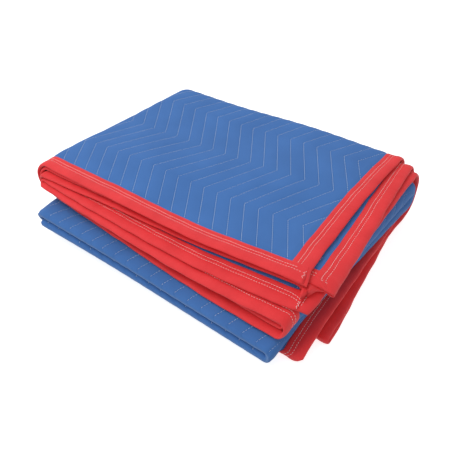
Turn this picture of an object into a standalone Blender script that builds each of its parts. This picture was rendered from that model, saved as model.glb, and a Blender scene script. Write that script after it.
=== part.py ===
"""Quilted moving blanket, 2.0 m by 1.6 m, bound in red and folded to sixteen layers on a surface.

The blanket is one quilted pad with a binding strip sewn round each of its four edges. It is folded
in half along its length, twice across it and once more along it, so that all four corners end up
together at the right front. X runs along the folded pack, Y across it towards the back fold, Z up.
"""
from collections import namedtuple

import bpy
import numpy as np

# Flat sizes, in metres.
PAD_THICKNESS = 0.0046
SEWN_THICKNESS = 0.0020        # the pad where the binding presses it
BINDING_CLOTH = 0.0010
BINDING_WIDTH = 0.030
CLEARANCE = 0.0004             # between the pad and its binding
SEWN_STEP = 0.0040             # the pad is at its full thickness this far past the binding
LAYER_PITCH = 0.0069           # from one layer of the stack to the next

SHORTEST_STEP = 0.0018         # steps shorter than this say nothing about a bend
INNER_ROOM = 0.50              # most of the room inside a bend that the cloth may fill
SEWN_STATIONS = (0, 1, 2, -3, -2, -1)   # stations of the pad that lie inside a binding

# Where the folds lie in plan.
LEFT_FOLD_TOP = -0.052
LEFT_FOLD_BACK = 0.002
LEFT_FOLD_BELOW = -0.022
RIGHT_FOLD_TRAVEL = (0.0, 0.25, 0.8, 1.2, 2.0)   # from the upper front round the back to below
RIGHT_FOLD = (0.427, 0.445, 0.464, 0.462, 0.421)
BACK_FOLD = 0.264
BACK_FLATNESS = 0.4            # share of the back fold's reach that stays flat before it turns
LOOSE_PANEL = 0.473            # length of the upper panel, from its loose end to the left fold
UPPER_PANEL = 0.342            # and its depth, from its sewn side to the back fold
END_PULL = 0.005               # how far the topmost loose end is drawn in midway
LEFT_END = -0.060
RIGHT_END = 0.450

# The eight layers of the half that hangs over the back fold, inside out. Each row has the layer's
# level; where its sewn side lies in the upper half and its nose in the lower half, at the left end,
# midway and at the right end; and how far its loose end reaches in front, behind and underneath.
Layer = namedtuple("Layer", "level side_left side_middle side_right nose_left nose_middle"
                            " nose_right end_front end_back end_below")
LAYERS = (
    Layer(0, -0.054, -0.092, -0.112, -0.099, -0.116, -0.132, None, None, None),
    Layer(1, -0.054, -0.081, -0.104, -0.099, -0.116, -0.132, None, None, None),
    Layer(2, -0.056, -0.080, -0.103, -0.101, -0.111, -0.131, None, None, None),
    Layer(3, -0.067, -0.096, -0.104, -0.101, -0.111, -0.131, None, None, None),
    Layer(4, -0.060, -0.085, -0.082, -0.092, -0.092, -0.099, 0.461, 0.466, 0.466),
    Layer(5, -0.060, -0.058, -0.050, -0.092, -0.092, -0.099, 0.466, 0.473, 0.455),
    Layer(6, -0.048, -0.053, -0.045, -0.082, -0.061, -0.047, 0.474, 0.460, 0.479),
    Layer(7, -0.048, -0.060, -0.056, -0.082, -0.061, -0.047, 0.435, 0.440, 0.481),
)
HALF_LAYERS = len(LAYERS)
LOOPED_LAYERS = 4              # the layers that go round the right fold instead of ending there
FLAT_TRAVEL = 0.8              # share of the way to the back crest that lies in the flat half

# How layers that reach past the ones beneath them come down: shares of the missing height, and
# the length over which each is lost.
UPPER_FRONT_DROP = 0.76        # past a sewn side of the upper half
UPPER_END_DROP = 0.17          # past a right end of it
LOWER_FRONT_DROP_LEFT = 0.58   # past a nose of the lower half, over the left of the pack
LOWER_FRONT_DROP_RIGHT = 0.93  # and at its right end
LOWER_DROP_START = 0.30        # share of the pack's length where the first turns into the second
LOWER_END_DROP = 0.41          # past a right end of the lower half
FRONT_DROP_LENGTH = 0.060
END_DROP_LENGTH = 0.050
BRIDGED = 0.26                 # share of the lower half's drops that the upper half bridges
BRIDGED_OVER = 2.0             # layers it takes to get there
LOOP_REACH = 0.0105            # how far the right fold carries height past where it turns

# Slow unevenness of the top, fading towards the floor: turns a metre along X and along Y, the
# angle at the origin, and the height.
Wave = namedtuple("Wave", "turns_x turns_y angle height")
WAVES = (Wave(3.2, 1.3, 0.0, 0.0022), Wave(-1.6, 4.2, 1.0, 0.0015))
BULK_LEFT_FRONT = 0.014        # extra height, as a share, at the left front corner
BULK_RIGHT_BACK = 0.096        # at the right back corner
BULK_LEFT_BACK = -0.021        # and at the left back corner
BULK_START = -0.060            # place along Y where the front corners lie

# Steps of the mesh along each stretch.
STEPS_PANEL = 5
STEPS_UPPER = 8
STEPS_LEFT_LOOP = 8
STEPS_INNER_LOOP = 6
STEPS_RIGHT_LOOP = 6
STEPS_BACK_FOLD = 7
STEPS_NOSE = 6
LOWER_SHARES = (0.35, 0.65, 0.76, 0.86, 0.93, 1.0)

BLUE = (0.055, 0.175, 0.480, 1.0)
RED = (0.780, 0.055, 0.060, 1.0)


def smooth(value):
    """Ease from 0 to 1 with level ends."""
    value = np.clip(value, 0.0, 1.0)
    return value * value * (3.0 - 2.0 * value)


def table(column):
    """A column of LAYERS with its levels, leaving out the rows that have no value there."""
    rows = [(layer.level, getattr(layer, column)) for layer in LAYERS
            if getattr(layer, column) is not None]
    return np.array(rows, dtype=float).T


def from_left(x):
    """Share of the pack's length: 0 at its left end, 1 at its right end."""
    return np.clip((x - LEFT_END) / (RIGHT_END - LEFT_END), 0.0, 1.0)


def edge_place(x, level, column):
    """A side or nose position for a level: a bow through its left, middle and right places."""
    levels = table(column + "_left")[0]
    left, middle, right = (np.interp(level, levels, table(column + place)[1])
                           for place in ("_left", "_middle", "_right"))
    share = from_left(x)
    bow = middle - (left + right) / 2
    return left + (right - left) * share + 4.0 * bow * share * (1.0 - share)


def loose_end(level, travel):
    """Reach of a loose end; travel is 0 at the upper front, 1 at the back and 2 underneath."""
    levels, front = table("end_front")
    back = table("end_back")[1]
    below = table("end_below")[1]
    front, back, below = (np.interp(level, levels, column) for column in (front, back, below))
    upper = front + (back - front) * smooth(travel)
    pull = END_PULL * smooth(level - HALF_LAYERS + 2) * np.sin(np.pi * np.clip(travel / FLAT_TRAVEL, 0, 1))
    return upper + (below - back) * smooth(travel - 1.0) - pull


def left_fold(travel):
    """Where the left-hand folds start to turn."""
    upper = LEFT_FOLD_TOP + (LEFT_FOLD_BACK - LEFT_FOLD_TOP) * smooth(travel)
    return upper + (LEFT_FOLD_BELOW - LEFT_FOLD_BACK) * smooth(travel - 1.0)


def right_fold(travel):
    """Where the right-hand fold starts to turn."""
    return np.interp(travel, RIGHT_FOLD_TRAVEL, RIGHT_FOLD)


def drop_share(x, y, level, upper, bridged):
    """How much height a layer still gives to what lies over it: 1 over its own area, less past it."""
    front = edge_place(x, level, "side" if upper else "nose")
    past_front = smooth((front - y) / FRONT_DROP_LENGTH)
    depth = FLAT_TRAVEL * np.clip((y - front) / (BACK_FOLD - front), 0.0, 1.0)
    travel = depth if upper else 2.0 - depth
    if level < LOOPED_LAYERS:
        end = right_fold(travel) + LOOP_REACH
    else:
        end = loose_end(level, travel)
    past_end = smooth((x - end) / END_DROP_LENGTH)
    if upper:
        return (1.0 - UPPER_FRONT_DROP * past_front) * (1.0 - UPPER_END_DROP * past_end)
    rightward = smooth((from_left(x) - LOWER_DROP_START) / (1.0 - LOWER_DROP_START))
    front_drop = LOWER_FRONT_DROP_LEFT * (1.0 - rightward) + LOWER_FRONT_DROP_RIGHT * rightward
    share = (1.0 - front_drop * past_front) * (1.0 - LOWER_END_DROP * past_end)
    return share + (1.0 - share) * bridged


def settle(x, y, stack):
    """Height of a point given in layers above the floor, once each layer rests on the ones beneath."""
    height = np.zeros(np.broadcast(x, y, stack).shape)
    bridged = BRIDGED * smooth((stack - HALF_LAYERS + 0.5) / BRIDGED_OVER)
    for index in range(2 * HALF_LAYERS):
        upper = index >= HALF_LAYERS
        level = index - HALF_LAYERS if upper else HALF_LAYERS - 1 - index
        share = drop_share(x, y, level, upper, bridged)
        height += np.clip(stack - index, 0.0, 1.0) * share
    left = 1.0 - from_left(x)
    back = np.clip((y - BULK_START) / (BACK_FOLD - BULK_START), 0.0, 1.0)
    bulk = (1.0 + BULK_LEFT_FRONT * left * (1.0 - back) + BULK_RIGHT_BACK * (1.0 - left) * back
            + BULK_LEFT_BACK * left * back)
    unevenness = sum(wave.height * np.sin(2.0 * np.pi * (wave.turns_x * x + wave.turns_y * y)
                                          + wave.angle) for wave in WAVES)
    unevenness = unevenness * smooth((stack - 1.0) / (2 * HALF_LAYERS))
    lowest = 0.5 * LAYER_PITCH
    return (height * LAYER_PITCH - lowest) * bulk + PAD_THICKNESS / 2 + unevenness


def levels_joined(stretch, flank):
    """The levels that each stretch of the folded length runs between; a panel keeps to one level."""
    outer = HALF_LAYERS - 1.0 - flank
    inner = LOOPED_LAYERS - 1.0 - flank
    loose = LOOPED_LAYERS + flank
    first = (outer, outer, flank, flank, inner, inner, loose)
    last = (outer, flank, flank, inner, inner, loose, loose)
    return np.choose(stretch, first), np.choose(stretch, last)


def lengthwise(stretch, share, first, last, travel):
    """Place along X and level of the folded length.

    Stretches 0 to 6 run from one loose end to the other: panel, outer left loop, panel, right loop,
    panel, inner left loop, panel.
    """
    left, right = left_fold(travel), right_fold(travel)
    lean = np.cos(np.pi * share)
    swing = np.abs(first - last) / 2 * np.sin(np.pi * share) * LAYER_PITCH
    end = loose_end(first, travel)
    along = (end + (left - end) * share, left - swing, left + (right - left) * share, right + swing,
             right + (left - right) * share, left - swing, left + (end - left) * share)
    return np.choose(stretch, along), (first + last) / 2 + (first - last) / 2 * lean


def widthwise(stretch, share, side, nose, level):
    """Place along Y and height in layers of the folded width.

    Stretches 0 to 6 run from one sewn side to the other: upper half, back fold, lower half, nose,
    lower half, back fold, upper half.
    """
    reach = level + 0.5
    angle = np.pi * share
    flatness = BACK_FLATNESS * reach / HALF_LAYERS
    back = BACK_FOLD + flatness * reach * LAYER_PITCH
    arc = back + (1.0 - flatness) * reach * LAYER_PITCH * np.sin(angle)
    turn = nose + LAYER_PITCH / 2 * (1.0 - np.sin(angle))
    nose = nose + LAYER_PITCH / 2
    across = (side + (back - side) * share, arc, back + (nose - back) * share, turn,
              nose + (back - nose) * share, arc, back + (side - back) * share)
    rise = reach * np.cos(angle)
    height = (reach, rise, -reach, -reach, -reach, -rise, reach)
    return np.choose(stretch, across), np.choose(stretch, height) + HALF_LAYERS


def stations(*stretches):
    """Station lists from (stretch, shares) pairs: the stretch of each station and its share."""
    kinds = np.concatenate([np.full(len(shares), kind) for kind, shares in stretches])
    return kinds.astype(int), np.concatenate([np.asarray(shares, float) for _, shares in stretches])


def steps(count, first=0.0, last=1.0):
    """Even steps after `first` up to and including `last`."""
    return np.linspace(first, last, count + 1)[1:]


def edge_shares(length):
    """Shares for the edge, the binding's middle and inner edge, and the step of the pad past it."""
    return [place / length for place in (0.0, BINDING_WIDTH / 2, BINDING_WIDTH,
                                         BINDING_WIDTH + CLEARANCE, BINDING_WIDTH + SEWN_STEP)]


def from_far(shares):
    """The same shares counted from the other end."""
    return [1.0 - share for share in reversed(shares)]


def length_stations():
    """Stations from the first loose end to the last."""
    edge = edge_shares(LOOSE_PANEL)
    return stations((0, edge), (0, steps(STEPS_UPPER, edge[-1])), (1, steps(STEPS_LEFT_LOOP)),
                    (2, steps(STEPS_PANEL)), (3, steps(STEPS_RIGHT_LOOP)), (4, steps(STEPS_PANEL)),
                    (5, steps(STEPS_INNER_LOOP)), (6, steps(STEPS_PANEL - 1, 0.0, 1.0 - edge[-1])[:-1]),
                    (6, from_far(edge)))


def width_stations():
    """Stations from the near sewn side to the far one."""
    edge = edge_shares(UPPER_PANEL)
    upper = steps(STEPS_PANEL, edge[-1])
    return stations((0, edge), (0, upper), (1, steps(STEPS_BACK_FOLD)), (2, LOWER_SHARES),
                    (3, steps(STEPS_NOSE)), (4, from_far((0.0,) + LOWER_SHARES)[1:]),
                    (5, steps(STEPS_BACK_FOLD)), (6, from_far(edge + list(upper))[1:]))


def travel_and_flank(stretch, share):
    """Travel round the back fold (0, 1 at its crest, 2) and flank for each width station."""
    none = np.zeros_like(share)
    crest = (2.0 - 2.0 * FLAT_TRAVEL) * share
    below = 2.0 - FLAT_TRAVEL
    travel = np.choose(stretch, (FLAT_TRAVEL * share, FLAT_TRAVEL + crest,
                                 below + FLAT_TRAVEL * share, none + 2.0,
                                 2.0 - FLAT_TRAVEL * share, below - crest,
                                 FLAT_TRAVEL - FLAT_TRAVEL * share))
    turned = (1.0 - np.cos(np.pi * share)) / 2
    return travel, np.choose(stretch, (none, none, none, turned, none + 1.0, none + 1.0, none + 1.0))


def folded_cloth():
    """Middle surface of the folded blanket and its normals, as arrays over both station lists."""
    long_kind, long_share = (values[:, None] for values in length_stations())
    wide_kind, wide_share = (values[None, :] for values in width_stations())
    travel, flank = travel_and_flank(wide_kind, wide_share)
    long_kind, long_share, wide_kind, wide_share, travel, flank = np.broadcast_arrays(
        long_kind, long_share, wide_kind, wide_share, travel, flank)
    first, last = levels_joined(long_kind, flank)
    x, level = lengthwise(long_kind, long_share, first, last, travel)
    side, nose = (edge_place(x, first, edge) * (1.0 - smooth(long_share))
                  + edge_place(x, last, edge) * smooth(long_share) for edge in ("side", "nose"))
    y, stack = widthwise(wide_kind, wide_share, side, nose, level)
    points = np.stack([x, y, settle(x, y, stack)], axis=-1)
    normals = np.cross(np.gradient(points, axis=1), np.gradient(points, axis=0))
    normals /= np.linalg.norm(normals, axis=-1, keepdims=True)
    return points, normals


def slimness(points, normals):
    """Share of its thickness that the cloth keeps: less where it turns tightly."""
    bend = np.zeros(points.shape[:2])
    for axis in (0, 1):
        turn = np.linalg.norm(np.diff(normals, axis=axis), axis=-1)
        length = np.linalg.norm(np.diff(points, axis=axis), axis=-1)
        edge = [(0, 0), (0, 0)]
        edge[axis] = (1, 1)
        rate = np.pad(turn / np.maximum(length, SHORTEST_STEP), edge)
        bend = np.maximum(bend, np.maximum(np.delete(rate, 0, axis), np.delete(rate, -1, axis)))
    return np.minimum(1.0, INNER_ROOM / (bend[..., None] * PAD_THICKNESS / 2 + 1e-9))


def sample(grid, rows, columns):
    """The grid read at fractional row and column numbers, straight between its points."""
    rows, columns = np.asarray(rows, float), np.asarray(columns, float)
    for axis, places in ((0, rows), (1, columns)):
        low = np.clip(np.floor(places).astype(int), 0, grid.shape[axis] - 2)
        share = places - low
        share = share[:, None, None] if axis == 0 else share[None, :, None]
        grid = np.take(grid, low, axis) * (1.0 - share) + np.take(grid, low + 1, axis) * share
    return grid


def split(quads, from_first):
    """Triangles of four-sided faces, each cut from its first corner or from its second."""
    first = np.concatenate([quads[..., [0, 1, 2]], quads[..., [0, 2, 3]]], axis=-1)
    second = np.concatenate([quads[..., [1, 2, 3]], quads[..., [1, 3, 0]]], axis=-1)
    return np.where(np.asarray(from_first)[..., None], first, second).reshape(-1, 3)


def mesh_quads(count, size, closed):
    """Four-sided faces between `count` rows of `size` points; a closed row joins its two ends."""
    start = np.arange(count - 1)[:, None] * size
    step = np.arange(size if closed else size - 1)[None, :]
    after = (step + 1) % size
    return np.stack([start + step, start + after, start + size + after, start + size + step], axis=-1)


def quilted_pad(points, normals):
    """The pad: two faces a cloth's thickness apart, thinner inside the binding, joined at the rim."""
    rows = pad_places(points.shape[0])
    columns = pad_places(points.shape[1])
    middle, outward = sample(points, rows, columns), sample(normals, rows, columns)
    outward /= np.linalg.norm(outward, axis=-1, keepdims=True)
    half = np.full(middle.shape[:2], PAD_THICKNESS / 2)
    half[SEWN_STATIONS, :] = SEWN_THICKNESS / 2
    half[:, SEWN_STATIONS] = SEWN_THICKNESS / 2
    half *= sample(slimness(points, normals), rows, columns)[..., 0]
    upper = middle + outward * half[..., None]
    lower = middle - outward * half[..., None]
    count, size = half.shape
    top = split(mesh_quads(count, size, False), True)
    bottom = top[:, ::-1] + count * size
    index = np.arange(count * size).reshape(count, size)
    rim = np.concatenate([index[0, :], index[1:, -1], index[-1, -2::-1], index[-2:0:-1, 0]])
    after = np.roll(rim, -1)
    under = count * size
    along_side = (rim % size == after % size)
    sides = split(np.stack([after, rim, rim + under, after + under], axis=-1), ~along_side)
    vertices = np.concatenate([upper.reshape(-1, 3), lower.reshape(-1, 3)])
    return vertices, np.concatenate([top, bottom, sides])


def pad_places(count):
    """Grid places of the pad's own stations: its edge inside the binding, then all but the sewing."""
    edge = (BINDING_CLOTH + CLEARANCE) / (BINDING_WIDTH / 2)
    return [edge, 1] + list(range(3, count - 3)) + [count - 2, count - 1 - edge]


def binding_strip(points, normals, places, along_rows, far):
    """A strip folded over one edge of the pad: a U profile carried along that edge.

    The profile's outside is its first half and its inside comes back along the second half.
    """
    outer, inner = PAD_THICKNESS / 2, PAD_THICKNESS / 2 - BINDING_CLOTH
    wall = BINDING_CLOTH / (BINDING_WIDTH / 2)
    profile = ((2.0, outer), (1.0, outer), (0.0, outer), (0.0, -outer), (1.0, -outer), (2.0, -outer),
               (2.0, -inner), (1.0, -inner), (wall, -inner), (wall, inner), (1.0, inner), (2.0, inner))
    depths = np.array([depth for depth, _ in profile])
    heights = np.array([height for _, height in profile])
    slim = slimness(points, normals)
    if not along_rows:
        points, normals, slim = (grid.swapaxes(0, 1) for grid in (points, normals, slim))
    columns = points.shape[1] - 1 - depths if far else depths
    middle, outward = sample(points, places, columns), sample(normals, places, columns)
    outward /= np.linalg.norm(outward, axis=-1, keepdims=True)
    rings = middle + outward * heights[None, :, None] * sample(slim, places, columns)
    size = len(profile)
    towards_edge = np.roll(depths, -1) < depths
    faces = split(mesh_quads(rings.shape[0], size, True), towards_edge[None, :] == far)
    low = np.arange(size // 2 - 1)
    high = size - 1 - low
    first = split(np.stack([high, high - 1, low + 1, low], axis=-1), True)
    last = first[:, ::-1] + (rings.shape[0] - 1) * size
    faces = np.concatenate([faces, first, last])
    if along_rows != far:
        faces = faces[:, ::-1]
    return rings.reshape(-1, 3), faces


def material(name, colour, roughness):
    """A plain cloth finish."""
    finish = bpy.data.materials.new(name)
    finish.use_nodes = True
    shader = finish.node_tree.nodes["Principled BSDF"]
    shader.inputs["Base Color"].default_value = colour
    shader.inputs["Roughness"].default_value = roughness
    shader.inputs["Metallic"].default_value = 0.0
    return finish


def add_piece(name, vertices, faces, finish):
    """A named mesh object, shaded smooth."""
    mesh = bpy.data.meshes.new(name)
    mesh.from_pydata(vertices.tolist(), [], faces.tolist())
    mesh.materials.append(finish)
    mesh.shade_smooth()
    piece = bpy.data.objects.new(name, mesh)
    bpy.context.scene.collection.objects.link(piece)
    return piece


for item in list(bpy.data.objects):
    bpy.data.objects.remove(item, do_unlink=True)

cloth, cloth_normals = folded_cloth()
row_count, column_count = cloth.shape[:2]
side_places = np.arange(row_count, dtype=float)
end_places = np.arange(3.0, column_count - 3)
pieces = (
    ("quilted_pad", quilted_pad(cloth, cloth_normals), BLUE),
    ("side_binding_near", binding_strip(cloth, cloth_normals, side_places, True, False), RED),
    ("side_binding_far", binding_strip(cloth, cloth_normals, side_places, True, True), RED),
    ("end_binding_first", binding_strip(cloth, cloth_normals, end_places, False, False), RED),
    ("end_binding_last", binding_strip(cloth, cloth_normals, end_places, False, True), RED),
)
every_point = np.concatenate([piece_points for _, (piece_points, _), _ in pieces])
centre = (every_point.max(axis=0) + every_point.min(axis=0)) / 2
for piece_name, (piece_points, piece_faces), colour in pieces:
    piece_points -= (centre[0], centre[1], 0.0)
    piece_points[:, 2] = np.maximum(piece_points[:, 2], 0.0)
    add_piece(piece_name, piece_points, piece_faces, material(piece_name + "_cloth", colour, 0.9))
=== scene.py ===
"""Dressed model of a folded quilted moving blanket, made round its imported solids."""
from collections import namedtuple

import bpy
import numpy as np
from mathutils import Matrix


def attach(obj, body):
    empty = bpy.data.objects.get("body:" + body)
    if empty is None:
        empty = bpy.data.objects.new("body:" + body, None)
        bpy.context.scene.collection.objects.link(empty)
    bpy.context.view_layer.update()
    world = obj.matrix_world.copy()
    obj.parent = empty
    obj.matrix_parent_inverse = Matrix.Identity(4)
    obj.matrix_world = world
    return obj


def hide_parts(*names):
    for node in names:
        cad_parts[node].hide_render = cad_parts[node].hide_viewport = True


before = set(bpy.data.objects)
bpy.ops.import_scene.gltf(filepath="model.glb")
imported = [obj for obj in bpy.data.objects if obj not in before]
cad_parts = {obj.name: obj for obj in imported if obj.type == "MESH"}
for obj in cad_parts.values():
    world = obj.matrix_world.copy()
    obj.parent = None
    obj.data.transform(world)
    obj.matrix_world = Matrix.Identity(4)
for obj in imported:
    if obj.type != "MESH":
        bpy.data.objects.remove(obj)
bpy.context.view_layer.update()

# ---------------------------------------------------------------------------------------------
# Quilted pad. Two faces of blue non-woven polyester cloth over a thin batting, sewn through on a
# multi-needle machine in rows of even zigzags, then folded in half along its length, twice across
# and once more along it, so that sixteen layers lie on each other.
PAD_THICKNESS = 0.0046
SEWN_HALF = 0.0010             # half the pad's thickness where a binding presses it
PUFF_LOW = 0.0021              # half its thickness along a row of stitches
PUFF_HIGH = 0.0028             # and midway between two rows
PUFF_POWER = 1.1
BINDING_WIDTH = 0.030
PRESSED_WIDTH = 0.0305         # from the cut edge, before the pad starts to puff up
PUFF_LENGTH = 0.006            # and how far it takes to do so
RIM_INSET = 0.6                # of a step of the grid
LAYER_PITCH = 0.0069
INNER_ROOM = 0.60              # share of the room inside a bend that the cloth may fill
SHORTEST_STEP = 0.0006
PACK_CENTRE = (0.201275, 0.092699)

LEFT_FOLD_TOP = -0.052         # the left folds' place along X, on top, at the back and below
LEFT_FOLD_BACK = 0.002
LEFT_FOLD_BELOW = -0.022
RIGHT_FOLD_TRAVEL = (0.0, 0.25, 0.8, 1.2, 2.0)  # travel round the back fold, and places along X
RIGHT_FOLD = (0.427, 0.445, 0.464, 0.462, 0.421)
BACK_FOLD = 0.264
BACK_FLATNESS = 0.4
LOOSE_PANEL = 0.473
UPPER_PANEL = 0.342
END_PULL = 0.005
LEFT_END = -0.060
RIGHT_END = 0.450
FLAT_TRAVEL = 0.8
LOOPED_LAYERS = 4
UPPER_FRONT_DROP = 0.76
UPPER_END_DROP = 0.17
LOWER_FRONT_DROP_LEFT = 0.58
LOWER_FRONT_DROP_RIGHT = 0.93
LOWER_DROP_START = 0.30
LOWER_END_DROP = 0.41
FRONT_DROP_LENGTH = 0.060
END_DROP_LENGTH = 0.050
BRIDGED = 0.26
BRIDGED_OVER = 2.0
LOOP_REACH = 0.0105
NOSE_POINT = 0.7               # how far a nose's section goes from half circle to point
HIGHLIGHT_SHARE = 0.15            # of the nose's length, over which the painted highlight along its crease fades
BULK_LEFT_FRONT = 0.014
BULK_RIGHT_BACK = 0.096
BULK_LEFT_BACK = -0.021
BULK_START = -0.060

# Each level's side edge and nose along Y at the left, middle and right, and its loose end along X at
# the front, at the back and below.
Layer = namedtuple("Layer", "level side_left side_middle side_right nose_left nose_middle"
                            " nose_right end_front end_back end_below")
LAYERS = (
    Layer(0, -0.054, -0.092, -0.112, -0.097, -0.112, -0.129, None, None, None),
    Layer(1, -0.054, -0.081, -0.104, -0.097, -0.112, -0.129, None, None, None),
    Layer(2, -0.056, -0.080, -0.103, -0.102, -0.114, -0.132, None, None, None),
    Layer(3, -0.067, -0.096, -0.104, -0.102, -0.114, -0.132, None, None, None),
    Layer(4, -0.060, -0.085, -0.082, -0.092, -0.092, -0.099, 0.461, 0.466, 0.466),
    Layer(5, -0.060, -0.058, -0.050, -0.092, -0.092, -0.099, 0.466, 0.473, 0.455),
    Layer(6, -0.048, -0.053, -0.045, -0.082, -0.061, -0.047, 0.474, 0.460, 0.479),
    Layer(7, -0.048, -0.060, -0.056, -0.082, -0.061, -0.047, 0.435, 0.440, 0.481),
)
HALF_LAYERS = len(LAYERS)
Wave = namedtuple("Wave", "turns_x turns_y angle height")
WAVES = (Wave(3.2, 1.3, 0.0, 0.0022), Wave(-1.6, 4.2, 1.0, 0.0015))


def smooth(value):
    """Ease from 0 to 1 with level ends: 3 v^2 - 2 v^3, with v held between 0 and 1."""
    value = np.clip(value, 0.0, 1.0)
    return value * value * (3.0 - 2.0 * value)


def layer_column(name):
    """The levels and the values of one column of LAYERS, leaving out the rows without a value."""
    rows = [(row.level, getattr(row, name)) for row in LAYERS if getattr(row, name) is not None]
    return np.array(rows, dtype=float).T


def from_left(x):
    """Share of the pack's length: 0 at its left end, 1 at its right end."""
    return np.clip((x - LEFT_END) / (RIGHT_END - LEFT_END), 0.0, 1.0)


def edge_place(x, level, column):
    """Side or nose of a level: the parabola through its left, middle and right places."""
    levels = layer_column(column + "_left")[0]
    left, middle, right = (np.interp(level, levels, layer_column(column + place)[1])
                           for place in ("_left", "_middle", "_right"))
    share = from_left(x)
    bow = middle - (left + right) / 2
    return left + (right - left) * share + 4.0 * bow * share * (1.0 - share)


def loose_end(level, travel):
    """Reach of a loose end: eased from front to back over travel 0 to 1, then to below over 1 to 2,
    less half a sine wave of pull along the top."""
    levels, front = layer_column("end_front")
    columns = (front, layer_column("end_back")[1], layer_column("end_below")[1])
    front, back, below = (np.interp(level, levels, column) for column in columns)
    along_top = np.clip(travel / FLAT_TRAVEL, 0.0, 1.0)
    pull = END_PULL * smooth(level - HALF_LAYERS + 2.0) * np.sin(np.pi * along_top)
    return front + (back - front) * smooth(travel) + (below - back) * smooth(travel - 1.0) - pull


def left_fold(travel):
    """Where the left folds start: the top, back and lower places, eased along the travel."""
    upper = LEFT_FOLD_TOP + (LEFT_FOLD_BACK - LEFT_FOLD_TOP) * smooth(travel)
    return upper + (LEFT_FOLD_BELOW - LEFT_FOLD_BACK) * smooth(travel - 1.0)


def right_fold(travel):
    """Where the right fold starts: straight lines between its places along the travel."""
    return np.interp(travel, RIGHT_FOLD_TRAVEL, RIGHT_FOLD)


def drop_share(x, y, level, upper, bridged):
    """Height that a layer gives to those above it: 1 over itself, eased down past its two edges."""
    front = edge_place(x, level, "side" if upper else "nose")
    past_front = smooth((front - y) / FRONT_DROP_LENGTH)
    depth = FLAT_TRAVEL * np.clip((y - front) / (BACK_FOLD - front), 0.0, 1.0)
    travel = depth if upper else 2.0 - depth
    if level < LOOPED_LAYERS:
        end = right_fold(travel) + LOOP_REACH
    else:
        end = loose_end(level, travel)
    past_end = smooth((x - end) / END_DROP_LENGTH)
    if upper:
        return (1.0 - UPPER_FRONT_DROP * past_front) * (1.0 - UPPER_END_DROP * past_end)
    rightward = smooth((from_left(x) - LOWER_DROP_START) / (1.0 - LOWER_DROP_START))
    front_drop = LOWER_FRONT_DROP_LEFT * (1.0 - rightward) + LOWER_FRONT_DROP_RIGHT * rightward
    share = (1.0 - front_drop * past_front) * (1.0 - LOWER_END_DROP * past_end)
    return share + (1.0 - share) * bridged


def settle(x, y, stack):
    """Height: the sum of the layers below, each by its share, times the bulk, plus slow waves."""
    height = np.zeros(np.broadcast(x, y, stack).shape)
    bridged = BRIDGED * smooth((stack - HALF_LAYERS + 0.5) / BRIDGED_OVER)
    for index in range(2 * HALF_LAYERS):
        upper = index >= HALF_LAYERS
        level = index - HALF_LAYERS if upper else HALF_LAYERS - 1 - index
        share = drop_share(x, y, level, upper, bridged)
        height += np.clip(stack - index, 0.0, 1.0) * share
    left = 1.0 - from_left(x)
    back = np.clip((y - BULK_START) / (BACK_FOLD - BULK_START), 0.0, 1.0)
    bulk = (1.0 + BULK_LEFT_FRONT * left * (1.0 - back) + BULK_RIGHT_BACK * (1.0 - left) * back
            + BULK_LEFT_BACK * left * back)
    unevenness = sum(wave.height * np.sin(2.0 * np.pi * (wave.turns_x * x + wave.turns_y * y)
                                          + wave.angle) for wave in WAVES)
    unevenness = unevenness * smooth((stack - 1.0) / (2 * HALF_LAYERS))
    lowest = 0.5 * LAYER_PITCH
    return (height * LAYER_PITCH - lowest) * bulk + PAD_THICKNESS / 2 + unevenness


def levels_joined(stretch, flank):
    """The levels that each stretch of the folded length runs between; a panel keeps to one."""
    outer = HALF_LAYERS - 1.0 - flank
    inner = LOOPED_LAYERS - 1.0 - flank
    loose = LOOPED_LAYERS + flank
    first = (outer, outer, flank, flank, inner, inner, loose)
    last = (outer, flank, flank, inner, inner, loose, loose)
    return np.choose(stretch, first), np.choose(stretch, last)


def lengthwise(stretch, share, first, last, travel):
    """Place along X and level: straight panels, joined by half circles that swing past the folds."""
    left, right = left_fold(travel), right_fold(travel)
    lean = np.cos(np.pi * share)
    swing = np.abs(first - last) / 2 * np.sin(np.pi * share) * LAYER_PITCH
    end = loose_end(first, travel)
    along = (end + (left - end) * share, left - swing, left + (right - left) * share, right + swing,
             right + (left - right) * share, left - swing, left + (end - left) * share)
    return np.choose(stretch, along), (first + last) / 2 + (first - last) / 2 * lean


def widthwise(stretch, share, side, nose, level):
    """Place along Y and height in layers: flat halves, a back fold round a flattened half circle
    whose radius is the level's reach, and a nose one pitch across, part half circle and part
    straight-sided point, for its pressed crease."""
    reach = level + 0.5
    angle = np.pi * share
    flatness = BACK_FLATNESS * reach / HALF_LAYERS
    back = BACK_FOLD + flatness * reach * LAYER_PITCH
    arc = back + (1.0 - flatness) * reach * LAYER_PITCH * np.sin(angle)
    point = 1.0 - np.abs(1.0 - 2.0 * share)
    turn = nose + LAYER_PITCH / 2 * (1.0 - NOSE_POINT * point - (1.0 - NOSE_POINT) * np.sin(angle))
    nose = nose + LAYER_PITCH / 2
    across = (side + (back - side) * share, arc, back + (nose - back) * share, turn,
              nose + (back - nose) * share, arc, back + (side - back) * share)
    rise = reach * np.cos(angle)
    height = (reach, rise, -reach, -reach, -reach, -rise, reach)
    return np.choose(stretch, across), np.choose(stretch, height) + HALF_LAYERS


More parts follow.
